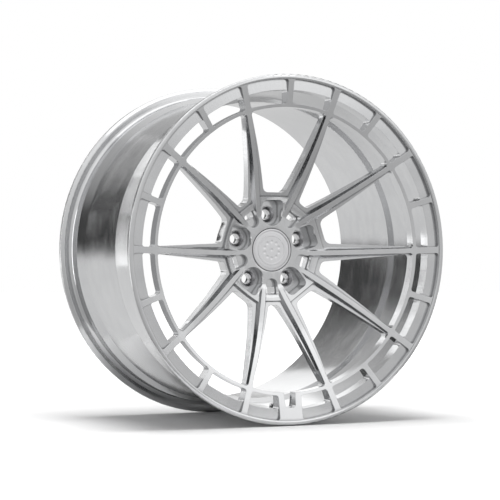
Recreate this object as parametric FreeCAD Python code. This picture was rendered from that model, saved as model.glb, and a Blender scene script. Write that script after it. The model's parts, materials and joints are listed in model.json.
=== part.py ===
import FreeCAD, Part
import math
import os

# Forged monoblock wheel, 20 x 11J, 5 x 112, all sizes in mm.
# Axle along Y, street face towards -Y, +Z up, origin at the wheel's centre.

V = FreeCAD.Vector
AXLE = V(0, 1, 0)
CENTRE = V(0, 0, 0)

# Rim
FLANGE_R = 271.5
HALF_WIDTH = 152.0
BEAD_HALF = 139.7
SEAT_R = 253.9
SEAT_TOE_R = 252.7
HUMP_R = 254.2
LIP_IN_R = 264.2
SEAM_ANGLE = 9.0

# Face
RING_IN_R = 221.0
SLOT_IN_R = 226.0
SLOT_OUT_R = 247.0
LEDGE_IN_R = 240.0
LEDGE_Y = -144.0
RING_BACK_Y = -123.5
SLOT_BACK_Y = -120.0
HUB_FACE_Y = -80.0
PAD_Y = -35.0
PAD_R = 78.0
BAR_HALF = 4.5
PLAQUE_HALF = 19.5
RIDGE_HALF = 3.75
SPOKE_END_HALF = 4.9
RIDGE_LEAN = 16.4
RIDGE_OFFSET = 7.3
LUG_STEP = 72.0
FIRST_LUG = 90.0

# Hub
PCD_R = 56.0
LUG_POCKET_R = 18.3
LUG_POCKET_END = 78.5
LUG_FLOOR_Y = -61.0
INSERT_R = 13.5
INSERT_BACK_Y = -46.0
BOLT_R = 8.2
HUB_BORE_R = 33.3
CAP_BORE_R = 30.0
CAP_RECESS_R = 34.0
CAP_SEAT_Y = -74.0
BORE_STEP_Y = -55.0

# Valve
VALVE_Y = -95.0
VALVE_R = 247.5
VALVE_TILT = 18.0
VALVE_HOLE_R = 5.75
BOSS_R = 11.0
BOSS_HALF = 4.5


CREST = ((45, -80.0), (57, -80.0), (66, -83.6), (80, -90.2), (100, -99.8), (120, -109.0), (140, -117.2),
         (170, -127.8), (200, -136.2), (230, -143.2), (262, -149.4), (294, -155.0))


def face_curve(radius):
    """Height of the ridge tops over the concave face, smooth through the CREST points."""
    if radius <= CREST[1][0]:
        return HUB_FACE_Y
    i = max(k for k in range(1, len(CREST) - 2) if CREST[k][0] <= radius or k == 1)
    (r0, y0), (r1, y1), (r2, y2), (r3, y3) = CREST[i - 1:i + 3]
    span = r2 - r1
    m1, m2 = (y2 - y0) / (r2 - r0) * span, (y3 - y1) / (r3 - r1) * span
    t = (radius - r1) / span
    return ((2 * t ** 3 - 3 * t ** 2 + 1) * y1 + (t ** 3 - 2 * t ** 2 + t) * m1
            + (3 * t ** 2 - 2 * t ** 3) * y2 + (t ** 3 - t ** 2) * m2)


def spline(points):
    curve = Part.BSplineCurve()
    curve.interpolate([V(*p) if len(p) == 3 else V(p[0], p[1], 0) for p in points])
    return curve.toShape()


def rounded_wire(corners, lift=lambda a, b: V(a, b, 0)):
    """Closed wire of straight runs; each corner is (a, b, fillet radius)."""
    count = len(corners)
    trimmed = []
    for i, (a, b, rad) in enumerate(corners):
        here, before, after = V(a, b, 0), V(*corners[i - 1][:2], 0), V(*corners[(i + 1) % count][:2], 0)
        u, w = (before - here).normalize(), (after - here).normalize()
        half = u.getAngle(w) / 2
        if rad <= 0 or half > math.radians(89.5):
            trimmed.append((here, None, here))
            continue
        reach = rad / math.tan(half)
        middle = here + (u + w).normalize() * (rad / math.sin(half) - rad)
        trimmed.append((here + u * reach, middle, here + w * reach))
    edges = []
    for i, (start, middle, end) in enumerate(trimmed):
        lifted = [lift(p.x, p.y) for p in (start, end)]
        if middle is not None:
            edges.append(Part.Arc(lifted[0], lift(middle.x, middle.y), lifted[1]).toShape())
        follow = trimmed[(i + 1) % count][0]
        if (follow - end).Length > 1e-6:
            edges.append(Part.makeLine(lifted[1], lift(follow.x, follow.y)))
    return Part.Wire(Part.__sortEdges__(edges))


def spin(wire, start=SEAM_ANGLE):
    solid = Part.Face(wire).revolve(CENTRE, AXLE, 360)
    return turn(solid, start)


def turn(shape, degrees):
    """Turn a shape about the axle, counted the way it looks from the street side."""
    copy = shape.copy()
    copy.rotate(CENTRE, AXLE, -degrees)
    return copy


def prism(corners, y0, y1):
    wire = rounded_wire(corners, lambda a, b: V(a, y0, b))
    return Part.Face(wire).extrude(V(0, y1 - y0, 0))


def disc(radius, y0, y1, x=0.0, z=0.0):
    return Part.makeCylinder(radius, y1 - y0, V(x, y0, z), AXLE)


# ---- rim and face as one turned blank ----

def rim_ring():
    half, tip = HALF_WIDTH, FLANGE_R
    corners = [
        (LIP_IN_R, LEDGE_Y, 0), (LIP_IN_R, -half + 0.6, 0), (266.0, -half, 0.8), (tip, -half, 3.4),
        (tip, -143.6, 1.6), (266.0, -BEAD_HALF, 5.0), (SEAT_R - 0.2, -BEAD_HALF, 6.5),
        (SEAT_TOE_R, -121.5, 3.0), (HUMP_R, -117.0, 4.0), (251.4, -108.0, 6.0), (247.2, -35.0, 5.0),
        (241.4, -21.5, 6.0), (248.4, 94.0, 8.0), (HUMP_R, 115.0, 4.0), (SEAT_TOE_R, 121.5, 3.0),
        (SEAT_R - 0.2, BEAD_HALF, 6.5), (266.0, BEAD_HALF, 5.0), (tip, 143.6, 1.6), (tip, half, 3.4),
        (262.0, half, 2.5), (250.0, 150.2, 3.0), (246.4, 148.6, 1.2), (236.4, -33.5, 4.0),
        (241.8, -45.5, 4.0), (247.6, -121.0, 2.0), (246.0, RING_BACK_Y - 1.0, 0), (246.0, LEDGE_Y, 0)]
    return spin(rounded_wire(corners))


def face_disc():
    front = spline([(r, face_curve(r)) for r in range(62, 263, 10)])
    back = spline([(84, -57.5), (90, -66.0), (110, -80.2), (140, -94.6), (170, -105.6), (200, -115.6),
                   (218, -122.0)])
    f0, f1 = front.Vertexes[0].Point, front.Vertexes[-1].Point
    b0, b1 = back.Vertexes[0].Point, back.Vertexes[-1].Point
    runs = [V(*f1), V(LIP_IN_R + 0.6, -149.8, 0), V(LIP_IN_R + 0.6, LEDGE_Y + 2.0, 0),
            V(250.0, LEDGE_Y + 2.0, 0), V(250.0, RING_BACK_Y, 0), V(222.0, RING_BACK_Y, 0), V(*b1)]
    inner = [V(*b0), V(80.5, -50.0, 0), V(80.0, PAD_Y - 6.0, 0), V(PAD_R - 1.5, PAD_Y, 0),
             V(HUB_BORE_R + 1.5, PAD_Y, 0), V(HUB_BORE_R, PAD_Y - 1.5, 0), V(HUB_BORE_R, BORE_STEP_Y, 0),
             V(CAP_BORE_R, BORE_STEP_Y, 0), V(CAP_BORE_R, CAP_SEAT_Y + 1.0, 0),
             V(CAP_BORE_R + 1.0, CAP_SEAT_Y, 0), V(CAP_RECESS_R, CAP_SEAT_Y, 0),
             V(CAP_RECESS_R, HUB_FACE_Y + 0.7, 0), V(CAP_RECESS_R + 0.7, HUB_FACE_Y, 0),
             V(57.0, HUB_FACE_Y, 0), V(*f0)]
    edges = [front, back]
    for chain in (runs, inner):
        edges += [Part.makeLine(a, b) for a, b in zip(chain, chain[1:])]
    return spin(Part.Wire(Part.__sortEdges__(edges)))


def in_front_of(drop):
    """Everything ahead of a surface that lies `drop(r)` behind the ridge tops."""
    under = spline([(r, face_curve(r) + drop(r)) for r in range(12, 263, 10)])
    a, b = under.Vertexes[0].Point, under.Vertexes[-1].Point
    far = -190.0
    outer = [V(a), V(0, a.y, 0), V(0, far, 0), V(b.x, far, 0), V(b)]
    edges = [under] + [Part.makeLine(p, q) for p, q in zip(outer, outer[1:])]
    return spin(Part.Wire(Part.__sortEdges__(edges)))


# ---- spoke flanks: ruled walls that keep the ridge the same width over the concave face ----

def flank(axis_lean, axis_offset, x):
    """Sideways place of a ridge's near edge at distance x along a window's centre line."""
    lean = math.radians(axis_lean)
    return x * math.tan(lean) + (axis_offset - RIDGE_HALF) / math.cos(lean)


def flank_slope(x):
    return 0.62 - 0.20 * (x - 80.0) / 140.0


def wedge(axis_lean, axis_offset, x_in, x_out=232.0, y_front=-175.0, y_back=-66.0):
    """Wedge between two neighbouring ridges, open at both ends."""
    steps = 16
    rings = []
    for y in (y_front, y_back):
        side = []
        for i in range(steps + 1):
            x = x_in + (x_out - x_in) * i / steps
            top = flank(axis_lean, axis_offset, x)
            crest = face_curve(math.hypot(x, top))
            side.append((x, y, max(1.2, top + flank_slope(x) * (crest - y))))
        other = [(x, yy, -z) for x, yy, z in side]
        rings.append(Part.Wire([spline(side), Part.makeLine(V(*side[-1]), V(*other[-1])),
                                spline(other[::-1]), Part.makeLine(V(*other[0]), V(*side[0]))]))
    return Part.makeLoft(rings, True, True)


def base_block(x_base, level, slope=0.45, r_out=RING_IN_R):
    """Keeps only what lies outside a drafted base wall and inside the ring."""
    front, back = -175.0, -40.0
    corners = [V(x_base - slope * (level - front), front, -200),
               V(x_base + slope * (back - level), back, -200),
               V(320, back, -200), V(320, front, -200)]
    block = Part.Face(Part.makePolygon(corners + corners[:1])).extrude(V(0, 0, 400))
    return block.common(disc(r_out, front, back))


def round_uprights(solid, pick, radius):
    edges = [e for e in solid.Edges if pick(e)]
    try:
        return solid.makeFillet(radius, edges)
    except Exception:
        return solid


def upright(edge, x_min, x_max):
    """True for an edge that runs front to back between two radii."""
    a, b = edge.Vertexes[0].Point, edge.Vertexes[-1].Point
    if abs(a.y - b.y) < 20:
        return False
    middle = edge.valueAt((edge.FirstParameter + edge.LastParameter) / 2)
    return x_min < math.hypot(middle.x, middle.z) < x_max


def web_drop(radius, start, depth):
    """Ramps from flush at the hub to the webs between the ridges."""
    t = min(1.0, max(0.0, (radius - start) / 12.0))
    return -0.3 + (depth + 0.3) * t * t * (3 - 2 * t)


def shoulder_drop(radius, depth):
    return depth - (depth - 5.0) * max(0.0, radius - 100.0) / 120.0


def window_cutters(kind, levels):
    """The three nested cuts of one window: web level, shoulder level, and right through."""
    if kind == "pair":
        lean, offset = RIDGE_LEAN, RIDGE_OFFSET
        step_x, through_x, through_half, slope, corner = 84.0, 90.5, 18.9, 0.367, 11.0
    else:
        lean, offset = 36.0 - RIDGE_LEAN, -RIDGE_OFFSET
        step_x, through_x, through_half, slope, corner = 79.5, 87.0, 8.6, 0.4297, 8.0
    web_limit, shoulder_limit = levels
    flanks = wedge(lean, offset, 50.0)
    web = flanks.common(disc(96.0, -175.0, -40.0)).common(web_limit)
    shoulder = flanks.common(base_block(step_x, -86.0))
    shoulder = round_uprights(shoulder, lambda e: upright(e, 200, 300), 5.0)
    shoulder = shoulder.common(shoulder_limit)
    x_out = 214.0
    z_out = through_half + slope * (x_out - through_x)
    side = [(through_x, -through_half, corner), (through_x, through_half, corner),
            (x_out + 60, z_out + slope * 60, 0), (x_out + 60, -z_out - slope * 60, 0)]
    through = prism(side, -175.0, -20.0).common(disc(RING_IN_R, -175.0, -20.0))
    through = round_uprights(through, lambda e: upright(e, 200, 240), 6.0)
    return [web, shoulder, through]


def ridge_line(side):
    """A point on, and the direction of, the ridge beside a lug axis; side is +1 or -1."""
    lean = math.radians(RIDGE_LEAN)
    return (V(-RIDGE_OFFSET * math.sin(lean), 0, side * RIDGE_OFFSET * math.cos(lean)),
            V(math.cos(lean), 0, side * math.sin(lean)))


def bar_line(degrees):
    a = math.radians(degrees)
    return V(0, 0, 0), V(math.cos(a), 0, math.sin(a))


def meet(line, shift, radius):
    """Where a line moved sideways by `shift` crosses the circle of that radius."""
    point, way = line
    normal = V(-way.z, 0, way.x)
    start = point + normal * shift
    along = start.dot(way)
    reach = -along + math.sqrt(along * along - start.Length ** 2 + radius * radius)
    return start + way * reach


def cell(low, low_half, high, high_half, r_in, r_out, y0, y1, corner_in, corner_out):
    """Pocket between two radial members, with arc-shaped inner and outer ends."""
    a, b = meet(low, low_half, r_in), meet(low, low_half, r_out)
    c, d = meet(high, -high_half, r_out), meet(high, -high_half, r_in)

    def arc(p, q, radius):
        middle = (p + q).normalize() * radius
        return Part.Arc(p, middle, q).toShape()

    wire = Part.Wire([Part.makeLine(a, b), arc(b, c, r_out), Part.makeLine(c, d), arc(d, a, r_in)])
    block = Part.Face(wire).extrude(V(0, y1 - y0, 0))
    block.translate(V(0, y0, 0))
    middle = (r_in + r_out) / 2
    if corner_in > 0:
        block = round_uprights(block, lambda e: upright(e, 100, middle), corner_in)
    return round_uprights(block, lambda e: upright(e, middle, 400), corner_out)


def ledge_cells(sector):
    cuts = []
    lug = FIRST_LUG + LUG_STEP * sector
    for side in (1, -1):
        for outer_cell in (False, True):
            bar_at = side * (36.0 if outer_cell else 0.0)
            at_plaque = outer_cell and abs(((lug + bar_at) % 360.0) - 270.0) < 1.0
            bar_half = PLAQUE_HALF if at_plaque else BAR_HALF
            ridge, bar = ridge_line(side), bar_line(bar_at)
            bar_low = bar_at < 18.0 * side
            low, low_half, high, high_half = ((bar, bar_half, ridge, SPOKE_END_HALF) if bar_low
                                              else (ridge, SPOKE_END_HALF, bar, bar_half))
            cuts.append(turn(cell(low, low_half, high, high_half, LEDGE_IN_R, LIP_IN_R - 0.7,
                                  -190.0, LEDGE_Y, 0.0, 4.0), lug))
            cuts.append(turn(cell(low, low_half, high, high_half, SLOT_IN_R, SLOT_OUT_R,
                                  -190.0, SLOT_BACK_Y, 4.0, 3.6), lug))
    return cuts


def lug_cutters():
    pocket = prism([(PCD_R - 4.0, -LUG_POCKET_R, 0), (LUG_POCKET_END, -LUG_POCKET_R, 8.0),
                    (LUG_POCKET_END, LUG_POCKET_R, 8.0), (PCD_R - 4.0, LUG_POCKET_R, 0)], -190.0, LUG_FLOOR_Y)
    pocket = pocket.fuse(disc(LUG_POCKET_R, -190.0, LUG_FLOOR_Y, PCD_R - 0.0)).removeSplitter()
    seat = disc(INSERT_R, LUG_FLOOR_Y - 1.0, INSERT_BACK_Y, PCD_R)
    hole = disc(BOLT_R, INSERT_BACK_Y - 1.0, PAD_Y + 1.0, PCD_R)
    mouth = Part.makeCone(BOLT_R, BOLT_R + 2.0, 2.0, V(PCD_R, PAD_Y - 1.5, 0), AXLE)
    return [pocket, seat, hole, mouth]


def hub_slot_cutters():
    inner, half = 54.5, 9.6
    shallow = prism([(inner, -half, 0), (70.5, -11.4, 4.0), (70.5, 11.4, 4.0), (inner, half, 0)],
                    -190.0, -70.5)
    shallow = shallow.fuse(disc(half, -190.0, -70.5, inner)).removeSplitter()
    deep = prism([(58.5, -8.6, 2.5), (69.0, -9.8, 2.5), (69.0, 9.8, 2.5), (58.5, 8.6, 2.5)], -90.0, -30.0)
    relief = prism([(49.0, -12.5, 9.0), (100.0, -16.0, 0), (100.0, 16.0, 0), (49.0, 12.5, 9.0)], -57.0, -20.0)
    return [shallow, deep, relief]


def plaque_notch():
    corners = [(205.0, -10.8, 0), (218.0, -10.4, 0), (244.0, -8.5, 4.0), (244.0, 8.5, 4.0),
               (218.0, 10.4, 0), (205.0, 10.8, 0)]
    return turn(prism(corners, -190.0, -110.0), 270.0)


def valve_place(shape):
    copy = shape.copy()
    copy.rotate(CENTRE, V(1, 0, 0), VALVE_TILT)
    copy.translate(V(0, VALVE_Y, -VALVE_R))
    return copy


def rod(radius, s0, s1, bore=0.0):
    solid = Part.makeCylinder(radius, s1 - s0, V(0, 0, s0))
    if bore > 0:
        solid = solid.cut(Part.makeCylinder(bore, s1 - s0, V(0, 0, s0)))
    return solid


def wheel_forging():
    blank = rim_ring().fuse(face_disc())
    blank = blank.fuse(valve_place(rod(BOSS_R, -BOSS_HALF, BOSS_HALF))).removeSplitter()
    levels = {"pair": (in_front_of(lambda r: web_drop(r, 60.0, 3.8)),
                       in_front_of(lambda r: shoulder_drop(r, 7.6))),
              "between": (in_front_of(lambda r: web_drop(r, 62.0, 5.0)),
                          in_front_of(lambda r: shoulder_drop(r, 8.2)))}
    stages = [(FIRST_LUG, window_cutters("pair", levels["pair"])),
              (FIRST_LUG + 36.0, window_cutters("between", levels["between"])),
              (FIRST_LUG, lug_cutters()), (FIRST_LUG + 36.0, hub_slot_cutters())]
    for first, cutters in stages:
        for cutter in cutters:
            blank = blank.cut([turn(cutter, first + LUG_STEP * k) for k in range(5)])
    for k in range(5):
        blank = blank.cut(ledge_cells(k))
    flats = [valve_place(rod(BOSS_R, BOSS_HALF, 14)), valve_place(rod(BOSS_R, -14, -BOSS_HALF))]
    return blank.cut([plaque_notch(), valve_place(rod(VALVE_HOLE_R, -30, 30))] + flats)


# ---- pieces fitted to the forging ----

def revolve_profile(points):
    """Solid of revolution about the axle from (radius, y) corners; a third number rounds the corner."""
    return spin(rounded_wire([p if len(p) == 3 else (p[0], p[1], 0) for p in points]), 0.0)


def seat_insert(lug):
    """Pressed-in steel seat with a 60 degree cone for the wheel bolt."""
    mouth, throat = INSERT_R - 1.2, BOLT_R
    cone = (mouth - throat) / math.tan(math.radians(30.0))
    ring = revolve_profile([(throat, INSERT_BACK_Y), (INSERT_R - 0.4, INSERT_BACK_Y),
                            (INSERT_R, INSERT_BACK_Y - 0.4),
                            (INSERT_R, LUG_FLOOR_Y - 0.2), (INSERT_R - 0.4, LUG_FLOOR_Y - 0.6),
                            (mouth, LUG_FLOOR_Y - 0.6), (throat, LUG_FLOOR_Y - 0.6 + cone)])
    ring.translate(V(PCD_R, 0, 0))
    return turn(ring, lug)


CAP_R = 33.4
CAP_FACE_Y = -80.3
BADGE_R = 29.9
BADGE_FLOOR_Y = -78.0
PAD_THICK = 0.5
BADGE_THICK = 0.9
SKIRT_R = 29.6
ORING_Y = -68.2
ORING_SECTION = 1.0


def cap_body():
    groove = ORING_SECTION + 0.3
    return revolve_profile([
        (0.001, BADGE_FLOOR_Y), (BADGE_R + 0.3, BADGE_FLOOR_Y), (BADGE_R + 0.3, CAP_FACE_Y + 0.3),
        (BADGE_R + 0.6, CAP_FACE_Y), (CAP_R - 0.7, CAP_FACE_Y), (CAP_R, CAP_FACE_Y + 0.7),
        (CAP_R, CAP_SEAT_Y - 0.7), (CAP_R - 0.4, CAP_SEAT_Y - 0.3), (SKIRT_R, CAP_SEAT_Y - 0.3),
        (SKIRT_R, ORING_Y - groove), (27.9, ORING_Y - groove), (27.9, ORING_Y + groove),
        (SKIRT_R, ORING_Y + groove), (SKIRT_R, -61.0), (SKIRT_R - 1.0, -60.0), (25.6, -60.0),
        (25.6, -74.6, 2.0), (0.001, -74.6)])


def cap_oring():
    return Part.makeTorus(27.9 + ORING_SECTION, ORING_SECTION, V(0, ORING_Y, 0), AXLE)


def cap_pad():
    return disc(28.6, BADGE_FLOOR_Y - PAD_THICK, BADGE_FLOOR_Y)


def cap_badge():
    """Plain inlay: a raised ring and a rosette of shallow dimples."""
    back = BADGE_FLOOR_Y - PAD_THICK
    front = back - BADGE_THICK
    inlay = revolve_profile([(0.001, back), (BADGE_R, back), (BADGE_R, front + 0.3), (BADGE_R - 0.3, front),
                             (24.4, front), (24.0, front - 0.5), (21.6, front - 0.5), (21.2, front),
                             (0.001, front)])
    ball = 9.0
    dimples = [Part.makeSphere(ball, V(0, front - ball + 0.45, 0))]
    for k in range(10):
        dimple = Part.makeSphere(ball, V(13.0, front - ball + 0.45, 0))
        dimples.append(turn(dimple, 18.0 + 36.0 * k))
    return inlay.cut(dimples)


# ---- clamp-in valve, drawn along +Z and then set into the barrel ----

STEM_R = 4.1
TIP_S = 18.0
CHAMBER_R = 2.6
CORE_R = 2.35
NUT_FLATS = 12.0


def turned(points):
    """Solid of revolution about +Z from (radius, s) corners."""
    wire = Part.makePolygon([V(r, 0, s) for r, s in points + points[:1]])
    return Part.Face(wire).revolve(CENTRE, V(0, 0, 1), 360)


def valve_stem():
    return turned([(1.5, -9.4), (7.6, -9.4), (8.4, -8.8), (8.4, -7.6), (STEM_R, -7.4), (STEM_R, 11.9),
                   (3.6, 12.1), (3.6, 12.6), (3.85, 12.9), (3.85, TIP_S - 0.5), (3.4, TIP_S),
                   (CHAMBER_R, TIP_S), (CHAMBER_R, 3.8), (1.5, 3.2)])


def valve_grommet():
    """Rubber seal under the stem's head, with a sleeve that fills the hole."""
    return turned([(STEM_R + 0.05, -7.3), (8.0, -7.3), (8.6, -6.7), (8.6, -BOSS_HALF),
                   (VALVE_HOLE_R - 0.1, -BOSS_HALF), (VALVE_HOLE_R - 0.1, 3.6), (STEM_R + 0.05, 3.6)])


def valve_outer_seal():
    return rod(8.4, BOSS_HALF, BOSS_HALF + 1.0, STEM_R + 0.3)


def valve_washer():
    return rod(8.2, BOSS_HALF + 1.0, BOSS_HALF + 2.1, STEM_R + 0.2)


def valve_nut():
    s0, s1 = BOSS_HALF + 2.1, BOSS_HALF + 6.6
    corner = NUT_FLATS / 2 / math.cos(math.radians(30))
    turns = [math.radians(60 * k) for k in range(7)]
    points = [V(corner * math.cos(a), corner * math.sin(a), s0) for a in turns]
    hexagon = Part.Face(Part.makePolygon(points)).extrude(V(0, 0, s1 - s0))
    bevel = turned([(0.001, s0), (corner + 0.1, s0), (corner + 0.1, s1 - 0.7), (corner - 1.1, s1),
                    (0.001, s1)])
    return hexagon.common(bevel).cut(rod(STEM_R + 0.02, s0 - 1, s1 + 1))


def core_housing():
    """Screwed-in core: a barrel with a flanged spring seat below."""
    return turned([(0.95, 8.2), (1.9, 8.2), (1.9, 9.0), (1.7, 9.2), (1.7, 10.8), (1.9, 11.0), (CORE_R, 11.6),
                   (CORE_R, 16.4), (2.0, 16.9), (0.95, 16.9), (0.95, 14.6), (1.45, 14.4), (1.45, 9.0),
                   (0.95, 9.0)])


def core_seal():
    return turned([(1.72, 9.3), (2.5, 9.5), (2.55, 10.6), (1.72, 10.7)])


def core_pin():
    return turned([(0.001, 5.2), (1.1, 5.2), (1.1, 5.8), (0.55, 5.8), (0.55, 13.0), (1.25, 13.0),
                   (1.25, 13.7), (0.55, 13.7), (0.55, 17.0), (0.8, 17.1), (0.8, 17.7), (0.001, 17.7)])


def core_poppet():
    return turned([(0.57, 5.82), (1.7, 5.82), (1.85, 6.3), (1.7, 8.1), (1.2, 8.1), (1.1, 6.9), (0.57, 6.9)])


def core_spring():
    """Coil between the housing's seat and the pin's collar."""
    wire_r, coil_r, s0, s1, turns, per_turn = 0.16, 1.05, 9.2, 12.8, 5, 12
    points = []
    for k in range(turns * per_turn + 1):
        a, rise = 2 * math.pi * k / per_turn, (s1 - s0) * k / (turns * per_turn)
        points.append(V(coil_r * math.cos(a), coil_r * math.sin(a), s0 + rise))
    line = Part.BSplineCurve()
    line.interpolate(points)
    section = Part.Wire([Part.makeCircle(wire_r, points[0], line.tangent(line.FirstParameter)[0])])
    return Part.Wire([line.toShape()]).makePipeShell([section], True, True)


def valve_cap():
    outer, s0, s1 = 5.0, 12.5, 21.6
    shell = turned([(4.0, s0), (outer - 0.3, s0), (outer, s0 + 0.3), (outer, s1 - 0.9), (outer - 0.9, s1),
                    (0.001, s1), (0.001, 20.0), (4.0, 20.0)])
    flutes = []
    for k in range(16):
        a = math.radians(22.5 * k)
        flutes.append(Part.makeCylinder(0.45, s1 - s0 - 3.4, V((outer + 0.15) * math.cos(a),
                                                              (outer + 0.15) * math.sin(a), s0 + 1.4)))
    return shell.cut(flutes)


def valve_cap_gasket():
    return rod(3.9, 18.9, 20.0, 1.4)


def export(name, shape):
    shape.exportStep("parts/" + name + ".step")


os.makedirs("parts", exist_ok=True)
export("wheel_forging", wheel_forging())
for index in range(5):
    export("seat_insert_%d" % (index + 1), seat_insert(FIRST_LUG + LUG_STEP * index))
for node, shape in (("cap_body", cap_body()), ("cap_oring", cap_oring()), ("cap_adhesive_pad", cap_pad()),
                    ("cap_badge", cap_badge())):
    export(node, shape)
for node, shape in (("valve_stem", valve_stem()), ("valve_grommet", valve_grommet()),
                    ("valve_outer_seal", valve_outer_seal()), ("valve_washer", valve_washer()),
                    ("valve_nut", valve_nut()), ("valve_core_housing", core_housing()),
                    ("valve_core_seal", core_seal()), ("valve_core_pin", core_pin()),
                    ("valve_core_poppet", core_poppet()), ("valve_core_spring", core_spring()),
                    ("valve_cap", valve_cap()), ("valve_cap_gasket", valve_cap_gasket())):
    export(node, valve_place(shape))
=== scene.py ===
import json
import math

import bpy
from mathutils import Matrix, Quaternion, Vector


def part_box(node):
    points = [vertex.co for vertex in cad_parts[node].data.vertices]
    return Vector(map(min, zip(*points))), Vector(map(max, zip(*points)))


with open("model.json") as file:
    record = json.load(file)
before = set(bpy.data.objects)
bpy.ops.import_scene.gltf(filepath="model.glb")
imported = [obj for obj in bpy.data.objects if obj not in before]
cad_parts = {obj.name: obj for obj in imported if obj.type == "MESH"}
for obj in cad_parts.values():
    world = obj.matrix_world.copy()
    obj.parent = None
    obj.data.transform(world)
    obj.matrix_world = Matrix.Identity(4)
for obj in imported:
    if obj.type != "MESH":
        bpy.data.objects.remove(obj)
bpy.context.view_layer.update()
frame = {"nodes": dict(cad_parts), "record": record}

NODES = frame["nodes"]

# Driving dimensions, in metres, read from the frame
RIM_LOW, RIM_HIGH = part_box("wheel_forging")
RIM_R = RIM_HIGH.z
FLOOR_Z = RIM_LOW.z

# Where the milled face passes into the turned barrel: distance from the axle, and place along it
BARREL_FROM_R, BARREL_TO_R = 0.205, 0.225
BARREL_FROM_Y, BARREL_TO_Y = -0.118, -0.106

# Corners nearer than the weld are one, and faces that meet at more than the crease stay sharp
WELD = 2e-6
CREASE = math.radians(50)

# Floor: radius of the wide part and of the patch that the metal mirrors, and where it starts to glow
WIDE_FLOOR_R, CONTACT_FLOOR_R = 40 * RIM_R, 1.45 * RIM_R
GLOW_FROM, GLOW_TO, GLOW = 1.4 * RIM_R, 6.0 * RIM_R, 0.80
FLOOR_SIDES = 96

# Camera: azimuth and elevation in degrees, as the photograph shows the wheel, and the lens on a 36 mm sensor
CAMERA_AZIMUTH, CAMERA_ELEVATION = -25.6, -0.2
CAMERA_DISTANCE = 3.114
LENS_MM, SENSOR_MM = 139.0, 36.0


# ---- node helpers ----

class Nodes:
    """A node tree with short calls for the few kinds of node that the looks use."""

    def __init__(self, tree):
        self.tree = tree
        self.tree.nodes.clear()

    def add(self, kind, **values):
        node = self.tree.nodes.new(kind)
        for name, value in values.items():
            setattr(node, name, value)
        return node

    def put(self, socket, value):
        """Links an output to the socket, or sets the socket's own value."""
        if isinstance(value, bpy.types.NodeSocket):
            self.tree.links.new(value, socket)
        else:
            socket.default_value = value

    def math(self, operation, *values):
        node = self.add("ShaderNodeMath", operation=operation)
        for k, value in enumerate(values):
            self.put(node.inputs[k], value)
        return node.outputs[0]

    def ramp(self, value, stops):
        """Colour ramp through (position, grey or colour) stops."""
        node = self.add("ShaderNodeValToRGB")
        elements = node.color_ramp.elements
        while len(elements) < len(stops):
            elements.new(0.5)
        for element, (position, colour) in zip(elements, stops):
            element.position = position
            element.color = rgba(colour)
        self.put(node.inputs[0], value)
        return node.outputs[0]

    def spread(self, value, low, high, to_low, to_high):
        """Maps low..high smoothly to to_low..to_high."""
        node = self.add("ShaderNodeMapRange", interpolation_type="SMOOTHSTEP")
        for k, v in enumerate((value, low, high, to_low, to_high)):
            self.put(node.inputs[k], v)
        return node.outputs[0]

    def mix(self, factor, a, b):
        node = self.add("ShaderNodeMix", data_type="RGBA")
        self.put(node.inputs[0], factor)
        self.put(node.inputs[6], a if isinstance(a, bpy.types.NodeSocket) else rgba(a))
        self.put(node.inputs[7], b if isinstance(b, bpy.types.NodeSocket) else rgba(b))
        return node.outputs[2]

    def blend(self, factor, a, b):
        """Mix of two plain numbers."""
        node = self.add("ShaderNodeMix", data_type="FLOAT")
        for k, v in ((0, factor), (2, a), (3, b)):
            self.put(node.inputs[k], v)
        return node.outputs[0]

    def noise(self, vector, scale, detail=2.0, w=None):
        """Noise from 0 to 1. A fourth coordinate w closes a pattern that runs round the axle."""
        node = self.add("ShaderNodeTexNoise", noise_dimensions="4D" if w is not None else "3D")
        self.put(node.inputs["Vector"], vector)
        if w is not None:
            self.put(node.inputs["W"], w)
        self.put(node.inputs["Scale"], scale)
        self.put(node.inputs["Detail"], detail)
        return node.outputs["Fac"]

    def separate(self, vector):
        """The x, y and z of a vector."""
        node = self.add("ShaderNodeSeparateXYZ")
        self.put(node.inputs[0], vector)
        return node.outputs

    def combine(self, x, y, z):
        node = self.add("ShaderNodeCombineXYZ")
        for k, v in enumerate((x, y, z)):
            self.put(node.inputs[k], v)
        return node.outputs[0]

    def length(self, x, y):
        """Length of the flat vector (x, y)."""
        squares = self.math("ADD", self.math("MULTIPLY", x, x), self.math("MULTIPLY", y, y))
        return self.math("SQRT", squares)


def rgba(colour):
    if isinstance(colour, (int, float)):
        return (colour, colour, colour, 1.0)
    return tuple(colour) + (1.0,)


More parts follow.
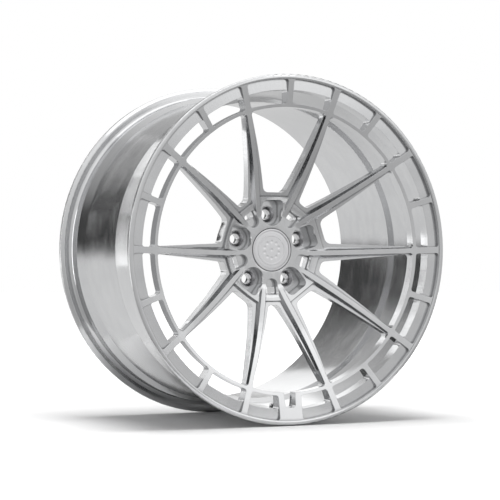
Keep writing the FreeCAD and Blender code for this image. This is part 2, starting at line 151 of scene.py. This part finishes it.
class Look(Nodes):
    """A Principled material whose constants sit on the shader's own sockets."""

    def __init__(self, name, **sockets):
        self.material = bpy.data.materials.new(name)
        self.material.use_nodes = True
        super().__init__(self.material.node_tree)
        self.shader = self.add("ShaderNodeBsdfPrincipled")
        out = self.add("ShaderNodeOutputMaterial")
        self.tree.links.new(self.shader.outputs[0], out.inputs[0])
        for key, value in sockets.items():
            self.set(key.replace("_", " "), value)

    def set(self, name, value):
        socket = self.shader.inputs[name]
        if name == "Base Color" and not isinstance(value, bpy.types.NodeSocket):
            value = rgba(value)
        self.put(socket, value)

    def place(self):
        return self.add("ShaderNodeTexCoord").outputs["Object"]

    def painted_corner_shade(self, reach):
        """1 on open metal, falling to 0 in inner corners within reach, in metres: the mask of the painted
        shade in corners.
        """
        shade = self.add("ShaderNodeAmbientOcclusion", samples=8)
        shade.inputs["Distance"].default_value = reach
        return self.spread(shade.outputs["AO"], 0.25, 0.85, 0.0, 1.0)

    def relief(self, height, strength, depth, edge=0.0):
        """Bump of the given depth in metres, over edges rounded by the given radius."""
        bump = self.add("ShaderNodeBump")
        bump.inputs["Strength"].default_value = strength
        bump.inputs["Distance"].default_value = depth
        self.put(bump.inputs["Height"], height)
        if edge > 0:
            soft = self.add("ShaderNodeBevel", samples=6)
            soft.inputs["Radius"].default_value = edge
            self.tree.links.new(soft.outputs[0], bump.inputs["Normal"])
        self.set("Normal", bump.outputs[0])


def around_axle(look):
    """(distance from the axle, place along it, cosine and sine of the angle round it) of a point."""
    x, y, z = look.separate(look.place())
    r = look.math("MAXIMUM", look.length(x, z), 1e-4)
    return r, y, look.math("DIVIDE", x, r), look.math("DIVIDE", z, r)


# ---- materials ----

def forging_look():
    """Raw machined aluminium: lathe rings on the barrel, fine grain on the face, faint clouds all over."""
    look = Look("forging_aluminium", Metallic=1.0)
    r, y, cosine, sine = around_axle(look)
    turned = look.noise(look.combine(r, y, look.math("MULTIPLY", cosine, 0.006)),
                        scale=2300.0, w=look.math("MULTIPLY", sine, 14.0))
    sweep = look.noise(look.combine(look.math("MULTIPLY", cosine, 90.0), look.math("MULTIPLY", sine, 90.0),
                                    look.math("MULTIPLY", r, 6.0)), scale=3.0, detail=3.0)
    grit = look.noise(look.place(), scale=2600.0)
    cloud = look.noise(look.place(), scale=26.0, detail=4.0)
    smudge = look.noise(look.combine(look.math("MULTIPLY", y, 60.0), look.math("MULTIPLY", cosine, 7.0),
                                     look.math("MULTIPLY", sine, 7.0)), scale=1.0, detail=4.0)
    # the barrel behind the face is turned, the face in front of it is milled
    barrel = look.math("MULTIPLY", look.spread(r, BARREL_FROM_R, BARREL_TO_R, 0.0, 1.0),
                       look.spread(y, BARREL_FROM_Y, BARREL_TO_Y, 0.0, 1.0))
    grain = look.blend(barrel, look.blend(0.55, sweep, grit), look.blend(0.45, turned, grit))
    tone = look.blend(0.45, cloud, smudge)
    metal = look.mix(look.spread(tone, 0.3, 0.7, 0.0, 1.0), (0.535, 0.539, 0.547), (0.585, 0.589, 0.595))
    # painted shade: the base colour darkens to this grey in inner corners and creases, following ambient
    # occlusion
    corner_shade_colour = (0.16, 0.162, 0.166)
    look.set("Base Color", look.mix(look.painted_corner_shade(0.005), corner_shade_colour, metal))
    look.set("Roughness", look.math("ADD", look.spread(grain, 0.2, 0.8, 0.11, 0.20),
                                    look.spread(tone, 0.3, 0.7, -0.03, 0.04)))
    look.relief(grain, strength=0.10, depth=0.00004, edge=0.0006)
    return look.material


def cap_look(name, colour, edge):
    """Satin aluminium with a fine round grain about the axle."""
    look = Look(name, Metallic=1.0)
    r, y, cosine, sine = around_axle(look)
    rings = look.noise(look.combine(r, y, look.math("MULTIPLY", cosine, 0.004)),
                       scale=2200.0, w=look.math("MULTIPLY", sine, 6.0))
    grit = look.noise(look.place(), scale=3200.0)
    grain = look.blend(0.6, rings, grit)
    worn = tuple(0.95 * c for c in colour)
    look.set("Base Color", look.mix(look.spread(grain, 0.3, 0.7, 0.0, 1.0), worn, colour))
    look.set("Roughness", look.spread(grain, 0.25, 0.75, 0.34, 0.46))
    look.relief(grain, strength=0.2, depth=0.00004, edge=edge)
    return look.material


def turned_look(name, colour, low, high):
    """Small turned metal part: a fine grain, and gloss that varies from the low to the high roughness."""
    look = Look(name, Metallic=1.0)
    place = look.place()
    fine = look.noise(place, scale=5200.0, detail=3.0)
    broad = look.noise(place, scale=420.0)
    dull = tuple(0.86 * c for c in colour)
    look.set("Base Color", look.mix(broad, dull, colour))
    look.set("Roughness", look.spread(fine, 0.2, 0.8, low, high))
    look.relief(fine, strength=0.25, depth=0.00003, edge=0.0003)
    return look.material


def soft_look(name, colour, roughness, scale):
    """Rubber, plastic or foam: matte, with a fine moulded grain and a little dust."""
    look = Look(name, Metallic=0.0)
    place = look.place()
    grain = look.noise(place, scale, detail=3.0)
    dust = look.noise(place, scale=160.0, detail=3.0)
    dusty = tuple(min(1.0, 1.6 * c + 0.01) for c in colour)
    look.set("Base Color", look.mix(look.spread(dust, 0.35, 0.75, 0.0, 1.0), colour, dusty))
    look.set("Roughness", look.spread(grain, 0.2, 0.8, roughness - 0.1, roughness + 0.1))
    look.relief(grain, strength=0.4, depth=0.00005)
    return look.material


LOOKS = {
    "forging": forging_look(),
    "cap_metal": cap_look("cap_aluminium", (0.66, 0.66, 0.672), 0.0004),
    "badge": cap_look("badge_aluminium", (0.70, 0.70, 0.712), 0.0003),
    "valve_metal": turned_look("valve_aluminium", (0.62, 0.63, 0.65), 0.2, 0.38),
    "steel": turned_look("turned_steel", (0.56, 0.56, 0.57), 0.16, 0.32),
    "brass": turned_look("turned_brass", (0.78, 0.58, 0.27), 0.18, 0.34),
    "rubber": soft_look("black_rubber", (0.022, 0.022, 0.023), 0.62, 2400.0),
    "ptfe": soft_look("red_fluoropolymer", (0.55, 0.06, 0.04), 0.45, 2600.0),
    "foam": soft_look("grey_foam", (0.06, 0.06, 0.062), 0.85, 1400.0),
}
SLOT_OF = {piece["node"]: piece["material_slot"] for piece in frame["record"]["subparts"]}


def dress(node):
    """Gives a CAD node the material of its slot, and shades its curved faces smooth."""
    mesh = node.data
    mesh.materials.clear()
    mesh.materials.append(LOOKS[SLOT_OF[node.name]])
    weld = node.modifiers.new("weld", "WELD")
    weld.merge_threshold = WELD
    for face in mesh.polygons:
        face.use_smooth = True
    split = node.modifiers.new("crease", "EDGE_SPLIT")
    split.split_angle = CREASE
    weighted = node.modifiers.new("weighted", "WEIGHTED_NORMAL")
    weighted.keep_sharp = True


for node in NODES.values():
    dress(node)


# ---- floor, light and camera ----

def pale_floor_look():
    """Matt pale floor whose far part glows a little, so that it runs into the white backdrop."""
    look = Look("pale_floor", Metallic=0.0, Roughness=0.75, Specular_IOR_Level=0.1)
    grain = look.noise(look.place(), scale=60.0, detail=3.0)
    look.set("Base Color", look.mix(grain, 0.90, 0.93))
    x, y, _ = look.separate(look.place())
    look.set("Emission Color", rgba(1.0))
    look.set("Emission Strength", look.spread(look.length(x, y), GLOW_FROM, GLOW_TO, 0.0, GLOW))
    return look.material


def plain_floor():
    """Wide pale floor that the metal doesn't mirror, and the round patch under the wheel that it does."""
    look = pale_floor_look()
    angles = [2 * math.pi * k / FLOOR_SIDES for k in range(FLOOR_SIDES)]
    for name, radius, depth, mirrored in (("studio_floor", WIDE_FLOOR_R, 0.0003, False),
                                          ("contact_floor", CONTACT_FLOOR_R, 0.0002, True)):
        corners = [(radius * math.cos(a), radius * math.sin(a), FLOOR_Z - depth) for a in angles]
        mesh = bpy.data.meshes.new(name)
        mesh.from_pydata(corners, [], [tuple(range(FLOOR_SIDES))])
        mesh.materials.append(look)
        floor = bpy.data.objects.new(name, mesh)
        floor.visible_glossy = mirrored
        bpy.context.scene.collection.objects.link(floor)


def studio_world():
    """Pale room, bright overhead and dark at mid height behind, but plain white where the camera sees it."""
    world = bpy.data.worlds.new("studio")
    bpy.context.scene.world = world
    world.use_nodes = True
    n = Nodes(world.node_tree)
    way = n.add("ShaderNodeTexCoord").outputs["Generated"]
    # 0 straight down, 1 straight up
    height = n.math("MULTIPLY_ADD", n.separate(way)[2], 0.5, 0.5)
    # 1 towards the rear left, where the barrel faces
    rearward = n.add("ShaderNodeVectorMath", operation="DOT_PRODUCT")
    n.put(rearward.inputs[0], way)
    n.put(rearward.inputs[1], (-0.50, 0.866, 0.0))
    front = n.ramp(height, [(0.0, 0.45), (0.12, 0.50), (0.35, 0.58), (0.50, 0.80), (0.65, 0.95), (0.87, 1.35),
                            (1.0, 0.85)])
    rear = n.ramp(height, [(0.0, 0.8), (0.35, 0.95), (0.47, 0.90), (0.50, 0.20), (0.53, 0.05), (0.65, 0.07),
                           (0.73, 0.42), (1.0, 0.55)])
    room = n.mix(n.spread(rearward.outputs["Value"], 0.35, 0.88, 0.0, 1.0), front, rear)
    path = n.add("ShaderNodeLightPath").outputs
    lit = n.add("ShaderNodeBackground")
    n.put(lit.inputs[0], room)
    n.put(lit.inputs[1], n.blend(path["Is Diffuse Ray"], 1.0, 0.22))
    white = n.add("ShaderNodeBackground")
    n.put(white.inputs[0], rgba(1.0))
    n.put(white.inputs[1], 1.0)
    join = n.add("ShaderNodeMixShader")
    for socket, value in zip(join.inputs, (path["Is Camera Ray"], lit.outputs[0], white.outputs[0])):
        n.put(socket, value)
    out = n.add("ShaderNodeOutputWorld")
    n.put(out.inputs[0], join.outputs[0])


def softbox(name, place, target, width, height, watts, mirrored=True, roll=0.0):
    """Area light aimed at a target and rolled by some degrees. The camera never sees it."""
    lamp = bpy.data.lights.new(name, "AREA")
    lamp.shape = "RECTANGLE"
    lamp.size, lamp.size_y, lamp.energy = width, height, watts
    item = bpy.data.objects.new(name, lamp)
    item.location = place
    aim = (Vector(target) - Vector(place)).to_track_quat("-Z", "Y")
    item.rotation_euler = (aim @ Quaternion((0, 0, 1), math.radians(roll))).to_euler()
    item.visible_camera = False
    item.visible_glossy = mirrored
    bpy.context.scene.collection.objects.link(item)


def studio_camera():
    """Camera aimed at the wheel's middle, at the photograph's angle."""
    data = bpy.data.cameras.new("camera")
    data.lens, data.sensor_width = LENS_MM, SENSOR_MM
    data.clip_start, data.clip_end = 0.05, 200.0
    item = bpy.data.objects.new("camera", data)
    a, e = math.radians(CAMERA_AZIMUTH), math.radians(CAMERA_ELEVATION)
    back = Vector((math.sin(a) * math.cos(e), -math.cos(a) * math.cos(e), math.sin(e)))
    item.location = back * CAMERA_DISTANCE
    item.rotation_euler = (-back).to_track_quat("-Z", "Y").to_euler()
    bpy.context.scene.collection.objects.link(item)
    bpy.context.scene.camera = item


def studio_lights():
    """Soft boxes round the wheel, and a curved bank of strips behind it."""
    middle = (0, 0, 0)
    softbox("top_softbox", (0.0, -0.3, 2.6), middle, width=2.6, height=2.2, watts=17.0)
    softbox("floor_key", (-0.1, -0.1, 2.4), middle, width=1.5, height=1.2, watts=62.0, mirrored=False)
    softbox("front_softbox", (1.6, -2.6, 1.2), middle, width=1.4, height=1.6, watts=4.0)
    softbox("left_strip", (-2.4, 0.6, 0.1), middle, width=0.5, height=1.6, watts=9.0)
    softbox("rear_right_box", (1.2, 2.8, 0.75), (0.1, 0, -0.1), width=1.1, height=1.0, watts=3.0)
    # the front of the barrel mirrors these strips, which stand in an arc at the rear left
    strip_y, strip_width, watts_per_area = 1.8, 0.22, 4.6
    strips = ((-0.85, 0.14, 0.60, 0), (-0.64, 0.60, 0.48, 42), (-0.25, 0.83, 0.48, 74))
    for k, (x, z, length, roll) in enumerate(strips):
        softbox("rear_strip_%d" % k, (x, strip_y, z), (-0.25, 0, 0), width=strip_width, height=length,
                watts=watts_per_area * strip_width * length, roll=roll)


plain_floor()
studio_world()
studio_lights()
studio_camera()
bpy.context.scene.view_settings.view_transform = "Standard"
bpy.context.scene.view_settings.look = "None"
